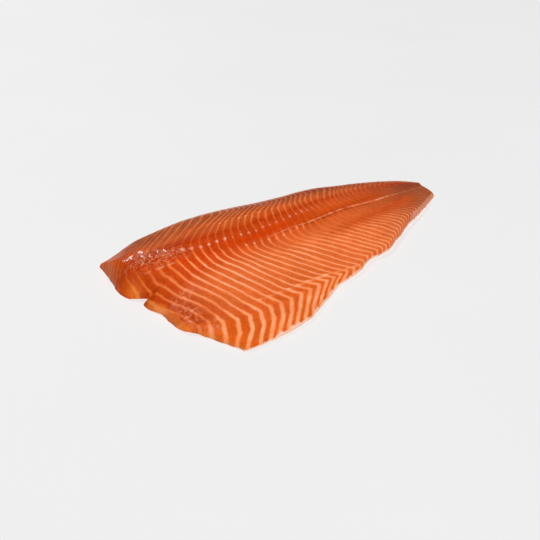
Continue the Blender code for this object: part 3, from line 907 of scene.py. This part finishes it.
def sums(tree, operation, first, second=0.0, third=0.0, clamp=False):
    """The outcome of one step of arithmetic."""
    inputs = {0: first, 1: second, 2: third}
    return add(tree, "ShaderNodeMath", inputs, operation=operation, use_clamp=clamp).outputs[0]


def times(tree, first, second, clamp=False):
    """One value times another."""
    return sums(tree, "MULTIPLY", first, second, clamp=clamp)


def scaled(tree, value, factor, base):
    """The value times the factor, plus the base."""
    return sums(tree, "MULTIPLY_ADD", value, factor, base)


def around_one(tree, value, swing):
    """A value from 0 to 1 as a factor from 1 - swing to 1 + swing."""
    return scaled(tree, value, 2 * swing, 1 - swing)


def darkened(tree, shade, cover, loss):
    """The shade, which loses this share of itself where the cover is full."""
    return times(tree, shade, scaled(tree, cover, -loss, 1.0))


def ramp(tree, value, low, high):
    """0 below low, 1 above high, and smooth between them. It falls instead where low is above high."""
    inputs = {"Value": value, "From Min": low, "From Max": high}
    return add(tree, "ShaderNodeMapRange", inputs, interpolation_type="SMOOTHSTEP").outputs["Result"]


def blend(tree, share, first, second):
    """A blend of two colours."""
    node = add(tree, "ShaderNodeMix", data_type="RGBA", blend_type="MIX", clamp_factor=True)
    factor, a, b = (node.inputs[socket] for socket in MIX_INPUTS)
    for socket, value in ((factor, share), (a, first), (b, second)):
        if isinstance(value, bpy.types.NodeSocket):
            tree.links.new(value, socket)
        elif socket == factor:
            socket.default_value = value
        else:
            socket.default_value = (*value[:3], 1)
    return node.outputs[MIX_OUTPUT]


def through(tree, share, first, second):
    """A blend of two colours as of layers that light passes through: it stays deep while the share is low."""
    first_share = sums(tree, "SUBTRACT", 1.0, share)
    rest = add(tree, "ShaderNodeGamma", {"Color": first, "Gamma": first_share}).outputs[0]
    part = add(tree, "ShaderNodeGamma", {"Color": (*second, 1), "Gamma": share}).outputs[0]
    node = add(tree, "ShaderNodeMix", data_type="RGBA", blend_type="MULTIPLY")
    factor, a, b = (node.inputs[socket] for socket in MIX_INPUTS)
    factor.default_value = 1
    tree.links.new(rest, a)
    tree.links.new(part, b)
    return node.outputs[MIX_OUTPUT]


def lumps(tree, place, scale, stretch=(1, 1, 1), detail=2.0, roughness=0.5):
    """Procedural unevenness from 0 to 1, with lumps of about 1 / scale, drawn out by the stretch."""
    drawn_out = add(tree, "ShaderNodeMapping", {"Vector": place, "Scale": stretch})
    inputs = {"Vector": drawn_out.outputs[0], "Scale": scale, "Detail": detail, "Roughness": roughness}
    return add(tree, "ShaderNodeTexNoise", inputs).outputs["Fac"]


def by_line(tree, number, across, per_line, per_metre):
    """A place for lumps that are drawn out along the fat lines."""
    inputs = {"X": times(tree, number, per_line), "Y": times(tree, across, per_metre)}
    return add(tree, "ShaderNodeCombineXYZ", inputs).outputs[0]


def field(tree, name):
    """A field of the flesh, as the mesh holds it."""
    return add(tree, "ShaderNodeAttribute", attribute_name=name).outputs["Fac"]


def fat_share(tree, place, number, sizes):
    """How much fat there is, and how near a fat line is. The lines widen, narrow and fade as they go."""
    gap = field(tree, "line_gap")
    from_line = sums(tree, "PINGPONG", sums(tree, "ADD", number, WHOLE_LINES), 0.5)
    width = scaled(tree, lumps(tree, place, scale=120), 1.0, 0.75)
    for name, change in LINE_WIDTH_CHANGES.items():
        width = scaled(tree, field(tree, name), change, width)
    width = times(tree, width, sizes.fat_half_width / MM)
    width = times(tree, width, ramp(tree, gap, 0.0, CLOSE_LINES))
    distance = sums(tree, "DIVIDE", times(tree, from_line, gap), width)
    line = ramp(tree, distance, 1.4, 0.4)
    halo = ramp(tree, distance, 3.2, 0.6)
    patchy = scaled(tree, lumps(tree, place, scale=90, detail=3), 0.8, 0.6)
    strength = times(tree, field(tree, "fat_strength"), patchy, clamp=True)
    fat = scaled(tree, halo, HALO_FAT, times(tree, line, 1 - HALO_FAT))
    fat = times(tree, fat, strength, clamp=True)

    from_middle = sums(tree, "PINGPONG", sums(tree, "ADD", number, WHOLE_LINES + 0.5), 0.5)
    fine_line = ramp(tree, times(tree, from_middle, gap), 1.5, 0.2)
    fine_line = times(tree, times(tree, fine_line, patchy), field(tree, "fine_lines"))
    fat = sums(tree, "MAXIMUM", fat, times(tree, fine_line, FINE_LINE_FAT))
    nodes = times(tree, field(tree, "fat_node"), patchy, clamp=True)
    return sums(tree, "MAXIMUM", fat, nodes), halo


def muscle_colour(tree, colours):
    """The muscle's colour, with each part of the flesh laid over those before it."""
    colour = colours.belly
    for name, paint, share in MUSCLE_LAYERS:
        colour = blend(tree, times(tree, field(tree, name), share), colour, getattr(colours, paint))
    return colour


def muscle_shade(tree, place, number, across, halo, unevenness):
    """How light the muscle is, around 1, with painted shade in the cracks. The unevenness lists what varies
    it, each with how far.
    """
    shade = 1.0
    for lumpy, swing in unevenness:
        shade = times(tree, shade, around_one(tree, lumpy, swing))
    grain = ramp(tree, lumps(tree, place, scale=420), 0.3, 0.7)
    shade = times(tree, shade, around_one(tree, grain, 0.07))
    brushed = lumps(tree, by_line(tree, number, across, per_line=3.2, per_metre=45.0), scale=1.0)
    brushed = sums(tree, "SUBTRACT", ramp(tree, brushed, 0.3, 0.7), 0.5)
    brushed = times(tree, brushed, scaled(tree, field(tree, "back"), 0.25, 0.08))
    shade = times(tree, shade, sums(tree, "ADD", brushed, 1.0))
    between_lines = times(tree, sums(tree, "SUBTRACT", 1.0, halo), field(tree, "back"))
    # Painted shade in the cracks along the crease and in the seam by the backbone
    shade = darkened(tree, shade, field(tree, "crack"), 0.6)
    shade = darkened(tree, shade, between_lines, 0.3)
    return darkened(tree, shade, field(tree, "wet"), 0.22)


def wet_glints(tree, place):
    """Pale marks on the wet patch, partly membrane and partly painted highlight: its ridges, a fine net and
    scattered flecks.
    """
    wet = field(tree, "wet")
    net = sums(tree, "ABSOLUTE", sums(tree, "SUBTRACT", lumps(tree, place, scale=240, detail=1), 0.5))
    net = times(tree, ramp(tree, net, 0.08, 0.0), wet)
    flecks = lumps(tree, place, scale=300, stretch=(0.6, 1, 1))
    flecks = times(tree, ramp(tree, flecks, 0.60, 0.68), wet)
    glints = sums(tree, "MAXIMUM", field(tree, "wet_ridge"), times(tree, net, 0.45))
    return sums(tree, "MAXIMUM", glints, times(tree, flecks, 0.8))


def pale_marks(tree, place, colour, colours):
    """The colour, with the bone ends, the painted glints, the backbone's line, the back's film and the rims
    on it. The back's film and rim are partly painted reflection.
    """
    mottled = scaled(tree, lumps(tree, place, scale=450), 1.3, 0.25)
    bones = times(tree, ramp(tree, field(tree, "bone_spot"), 0.05, 1.0), mottled)
    colour = blend(tree, times(tree, bones, 0.8), colour, colours.spot)
    # Painted glints on the wet patch, partly its pale membrane
    colour = blend(tree, times(tree, wet_glints(tree, place), 0.8), colour, colours.glint)
    colour = blend(tree, times(tree, field(tree, "backbone"), 0.85, clamp=True), colour, colours.fat)
    # Pale film on the back's side, partly painted grazing reflection
    colour = blend(tree, times(tree, field(tree, "film_and_painted_sheen"), 0.4), colour, colours.film_and_painted_sheen)
    # Pale rims; along the back's corner they are partly painted grazing reflection
    broken = scaled(tree, lumps(tree, place, scale=260, detail=3), 1.3, 0.3)
    rim = times(tree, field(tree, "pale_rim_and_sheen"), broken, clamp=True)
    colour = blend(tree, times(tree, rim, 0.75), colour, colours.rim)
    edge = times(tree, field(tree, "edge_fat"), broken, clamp=True)
    return blend(tree, edge, colour, colours.edge)


def flesh_bumps(tree, place, fibres, streaks, mottle):
    """Fine fibres, streaks along the fat lines and soft lumps, and wrinkles on the wet patch."""
    fine = lumps(tree, place, scale=2200, stretch=(0.3, 1, 1))
    height = scaled(tree, fibres, 0.6, times(tree, fine, 0.3))
    height = scaled(tree, streaks, 0.8, height)
    height = scaled(tree, mottle, 0.8, height)
    wrinkles = times(tree, lumps(tree, place, scale=480, stretch=(0.7, 1, 1)), field(tree, "wet"))
    height = scaled(tree, wrinkles, 3.2, height)
    bumps = {"Height": height, "Strength": 0.35, "Distance": 0.0006}
    return add(tree, "ShaderNodeBump", bumps).outputs["Normal"]


def flesh_material(colours, sizes):
    """Wet raw flesh: orange muscle with fine fibres, pale fat lines that fade and waver, and a fatty edge."""
    material = bpy.data.materials.new("salmon flesh")
    material.use_nodes = True
    tree = material.node_tree
    tree.nodes.clear()
    place = add(tree, "ShaderNodeTexCoord").outputs["Object"]
    across = add(tree, "ShaderNodeSeparateXYZ", {0: place}).outputs["Y"]
    waver = sums(tree, "SUBTRACT", lumps(tree, place, scale=170, detail=3), 0.5)
    number = scaled(tree, waver, LINE_WAVER, field(tree, "line_number"))
    fat, halo = fat_share(tree, place, number, sizes)

    mottle = lumps(tree, place, scale=60, detail=4, roughness=0.6)
    fibres = lumps(tree, place, scale=900, stretch=(0.12, 1, 1), detail=3)
    streaks = lumps(tree, by_line(tree, number, across, per_line=9.0, per_metre=110.0), scale=1.0, detail=3)
    unevenness = ((mottle, 0.25), (fibres, 0.15), (streaks, 0.25))
    shade = muscle_shade(tree, place, number, across, halo, unevenness)
    shaded = add(tree, "ShaderNodeVectorMath", {0: muscle_colour(tree, colours)}, operation="SCALE")
    tree.links.new(shade, shaded.inputs["Scale"])

    speckles = ramp(tree, lumps(tree, place, scale=300), 0.38, 0.72)
    speckles = times(tree, field(tree, "pale_patch"), speckles)
    colour = blend(tree, speckles, shaded.outputs[0], colours.patch)
    colour = through(tree, fat, colour, colours.fat)
    colour = pale_marks(tree, place, colour, colours)
    facing = add(tree, "ShaderNodeNewGeometry").outputs["Normal"]
    facing = add(tree, "ShaderNodeSeparateXYZ", {0: facing}).outputs["Z"]
    colour = blend(tree, ramp(tree, facing, -0.5, -0.8), colour, colours.belly)

    roughness = scaled(tree, field(tree, "wet"), -0.10, 0.33)
    shader = add(
        tree,
        "ShaderNodeBsdfPrincipled",
        {
            "Base Color": colour,
            "Roughness": scaled(tree, mottle, 0.14, roughness),
            "Normal": flesh_bumps(tree, place, fibres, streaks, mottle),
            "Subsurface Weight": 0.12,
            "Subsurface Radius": (1.0, 0.35, 0.2),
            "Subsurface Scale": 0.004,
            "Specular IOR Level": 0.02,
            "Coat Weight": 0.22,
            "Coat Roughness": 0.13,
            "IOR": 1.4,
        },
    )
    output = add(tree, "ShaderNodeOutputMaterial")
    tree.links.new(shader.outputs[0], output.inputs["Surface"])
    return material


def floor_material(colour):
    """A plain matt floor, with a trace of unevenness."""
    material = bpy.data.materials.new("pale floor")
    material.use_nodes = True
    tree = material.node_tree
    shader = tree.nodes["Principled BSDF"]
    place = add(tree, "ShaderNodeTexCoord").outputs["Object"]
    tone = ramp(tree, lumps(tree, place, scale=3), 0.2, 0.8)
    darker = tuple(FLOOR_DARKEST * part for part in colour)
    tree.links.new(blend(tree, tone, darker, colour), shader.inputs["Base Color"])
    shader.inputs["Roughness"].default_value = FLOOR_ROUGHNESS
    return material


# The add-on


def length_property(name, description, default):
    """A size in metres that a user can change."""
    return FloatProperty(name=name, description=description, unit="LENGTH", default=default)


def colour_property(name, description, default):
    """A colour that a user can change."""
    return FloatVectorProperty(
        name=name, description=description, subtype="COLOR", size=3, min=0, max=1, default=default
    )


class SalmonSizes(bpy.types.PropertyGroup):
    """How fine the fillet's mesh is, and how strong its small forms are."""

    columns: IntProperty(name="Columns", description="Mesh columns along the fillet", default=404, min=60)
    rows: IntProperty(name="Rows", description="Mesh rows across the fillet", default=203, min=40)
    fat_half_width: length_property("Fat half width", "Half the width of a fat line", 0.00105)
    line_groove: length_property("Line groove", "How deep the fat lines lie", 0.0003)
    bone_height: length_property("Bone end height", "How far the pin bones' ends stand up", 0.0006)
    wrinkle_height: length_property("Wrinkle height", "Height of the wet wrinkles on the front loin", 0.0005)
    sway: length_property("Sway", "Slow ups and downs of the flesh", 0.0004)


class SalmonColours(bpy.types.PropertyGroup):
    """Colours of the fillet's flesh, fat and edges."""

    belly: colour_property("Belly", "Flesh of the belly", (0.725, 0.137, 0.029))
    head: colour_property("Head end", "Flesh near the head cut", (0.46, 0.042, 0.0005))
    flap: colour_property("Flap", "Flesh below the belly fold", (0.66, 0.094, 0.007))
    chevrons: colour_property("Chevrons", "Flesh along the tips of the fat lines", (0.69, 0.105, 0.014))
    lip: colour_property("Lip", "Flesh round the notch", (0.77, 0.168, 0.022))
    # Much darker than the belly, partly as painted shade
    tail: colour_property("Tail", "Flesh of the tail", (0.205, 0.046, 0.018))
    tail_side: colour_property("Tail's side", "Flesh of the tail's belly side", (0.34, 0.078, 0.024))
    band: colour_property("Rear band", "Dark band below the backbone line", (0.55, 0.068, 0.008))
    trough: colour_property("Trough", "Flesh between the backbone and the pin bones", (0.59, 0.045, 0.0005))
    bone_side: colour_property("Backbone's side", "Flesh along the backbone line", (0.53, 0.054, 0.0005))
    loin: colour_property("Loin", "Flesh above the pin bones", (0.48, 0.038, 0.0005))
    crease: colour_property("Crease", "Flesh along the loin's crease", (0.7, 0.095, 0.0095))
    # Darker than the belly, partly as painted shade on the side that turns from the light
    back: colour_property("Back", "Flesh along the back", (0.375, 0.064, 0.015))
    back_front: colour_property("Back's front", "Flesh on the thick front of the back", (0.48, 0.087, 0.017))
    fat: colour_property("Fat", "Fat lines", (1.0, 0.38, 0.20))
    spot: colour_property("Bone ends", "Ends of the pin bones", (1.0, 0.52, 0.36))
    # Partly painted highlight, partly the wet patch's pale membrane
    glint: colour_property("Glints", "Glints on the wet wrinkles", (1.0, 0.5, 0.26))
    patch: colour_property("Pale patches", "Pale patches by the head cut", (0.85, 0.30, 0.15))
    # Colour of the painted shade between the pin bones and the loin's crease
    deep: colour_property("Deep", "Deepest flesh, below the loin's crease", (0.36, 0.018, 0.0005))
    # Pale film, partly painted grazing reflection
    film_and_painted_sheen: colour_property("Back film", "Pale film down the back's side", (0.46, 0.17, 0.1))
    # Pale rim; along the back's corner, partly painted grazing reflection
    rim: colour_property("Rim", "Pale rim of the outline", (0.8, 0.38, 0.26))
    edge: colour_property("Belly edge", "Fat along the belly edge", (1.0, 0.62, 0.45))


class StageSettings(bpy.types.PropertyGroup):
    """The floor and the lights."""

    floor_size: length_property("Floor size", "Side of the floor", 8.0)
    floor_colour: colour_property("Floor", "Colour of the floor", (0.84, 0.84, 0.84))
    key_strength: FloatProperty(name="Key light", description="Light from the front", default=1.7)
    overhead_strength: FloatProperty(name="Overhead light", description="Light from above", default=1.3)
    gloss_strength: FloatProperty(name="Gloss light", description="Light from behind", default=0.6)
    sky_strength: FloatProperty(name="Sky", description="Even light from all round", default=0.10)


class SALMON_OT_add_fillet(bpy.types.Operator):
    """Build the fillet over the solid, and let it stand for the solid"""

    bl_idname = "salmon.add_fillet"
    bl_label = "Add salmon fillet"

    def execute(self, context):
        scene = context.scene
        fillet = bpy.data.objects.new("salmon_fillet", flesh_mesh("salmon_fillet", scene.salmon_sizes))
        scene.collection.objects.link(fillet)
        fillet.data.materials.append(flesh_material(scene.salmon_colours, scene.salmon_sizes))
        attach(fillet, "root")
        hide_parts(CAD_NODE)
        return {"FINISHED"}


def far_light(name, direction, softness, strength):
    """An even light from a direction. The softness is the angle that it seems to fill, in degrees."""
    light = bpy.data.lights.new(name, "SUN")
    light.angle = math.radians(softness)
    light.energy = strength
    lamp = bpy.data.objects.new(name, light)
    lamp.rotation_mode = "QUATERNION"
    lamp.rotation_quaternion = Vector(direction).to_track_quat("Z", "Y")
    bpy.context.scene.collection.objects.link(lamp)


class SALMON_OT_set_stage(bpy.types.Operator):
    """Lay the floor, and set the lights and the camera"""

    bl_idname = "salmon.set_stage"
    bl_label = "Set stage"

    def execute(self, context):
        scene = context.scene
        settings = scene.salmon_stage
        half = settings.floor_size / 2
        floor_mesh = bpy.data.meshes.new("floor")
        corners = [(-half, -half, 0), (half, -half, 0), (half, half, 0), (-half, half, 0)]
        floor_mesh.from_pydata(corners, [], [(0, 1, 2, 3)])
        floor = bpy.data.objects.new("floor", floor_mesh)
        floor.data.materials.append(floor_material(settings.floor_colour))
        scene.collection.objects.link(floor)

        far_light("key light", KEY_DIRECTION, KEY_SOFTNESS, settings.key_strength)
        far_light("overhead light", OVERHEAD_DIRECTION, OVERHEAD_SOFTNESS, settings.overhead_strength)
        far_light("gloss light", GLOSS_DIRECTION, GLOSS_SOFTNESS, settings.gloss_strength)
        world = bpy.data.worlds.new("even light")
        world.use_nodes = True
        world.node_tree.nodes["Background"].inputs["Color"].default_value = (1, 1, 1, 1)
        world.node_tree.nodes["Background"].inputs["Strength"].default_value = settings.sky_strength
        scene.world = world
        scene.view_settings.view_transform = "Standard"

        camera_data = bpy.data.cameras.new("camera")
        camera_data.lens = CAMERA_LENS
        camera_data.sensor_width = CAMERA_SENSOR
        camera = bpy.data.objects.new("camera", camera_data)
        camera.location = CAMERA_PLACE
        facing = (Vector(CAMERA_AIM) - Vector(CAMERA_PLACE)).to_track_quat("-Z", "Y")
        camera.rotation_mode = "QUATERNION"
        camera.rotation_quaternion = facing @ Matrix.Rotation(CAMERA_ROLL, 4, "Z").to_quaternion()
        scene.collection.objects.link(camera)
        scene.camera = camera
        return {"FINISHED"}


class SALMON_PT_panel(bpy.types.Panel):
    """Buttons and settings for the fillet and its stage"""

    bl_idname = "SALMON_PT_panel"
    bl_label = "Raw salmon fillet"
    bl_space_type = "VIEW_3D"
    bl_region_type = "UI"
    bl_category = "Salmon"

    def draw(self, context):
        scene = context.scene
        self.layout.operator(SALMON_OT_add_fillet.bl_idname)
        self.draw_settings(scene.salmon_sizes)
        self.draw_settings(scene.salmon_colours)
        self.layout.operator(SALMON_OT_set_stage.bl_idname)
        self.draw_settings(scene.salmon_stage)

    def draw_settings(self, group):
        """One field in the sidebar for each setting of the group."""
        for name in group.bl_rna.properties.keys():
            if name not in ("rna_type", "name"):
                self.layout.prop(group, name)


GROUPS = {"salmon_sizes": SalmonSizes, "salmon_colours": SalmonColours, "salmon_stage": StageSettings}
CLASSES = (*GROUPS.values(), SALMON_OT_add_fillet, SALMON_OT_set_stage, SALMON_PT_panel)


def register():
    for cls in CLASSES:
        bpy.utils.register_class(cls)
    for name, group in GROUPS.items():
        setattr(bpy.types.Scene, name, PointerProperty(type=group))


def unregister():
    for name in GROUPS:
        delattr(bpy.types.Scene, name)
    for cls in reversed(CLASSES):
        bpy.utils.unregister_class(cls)


def main():
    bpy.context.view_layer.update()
    register()
    bpy.ops.salmon.add_fillet()
    bpy.ops.salmon.set_stage()


if __name__ == "__main__":
    main()
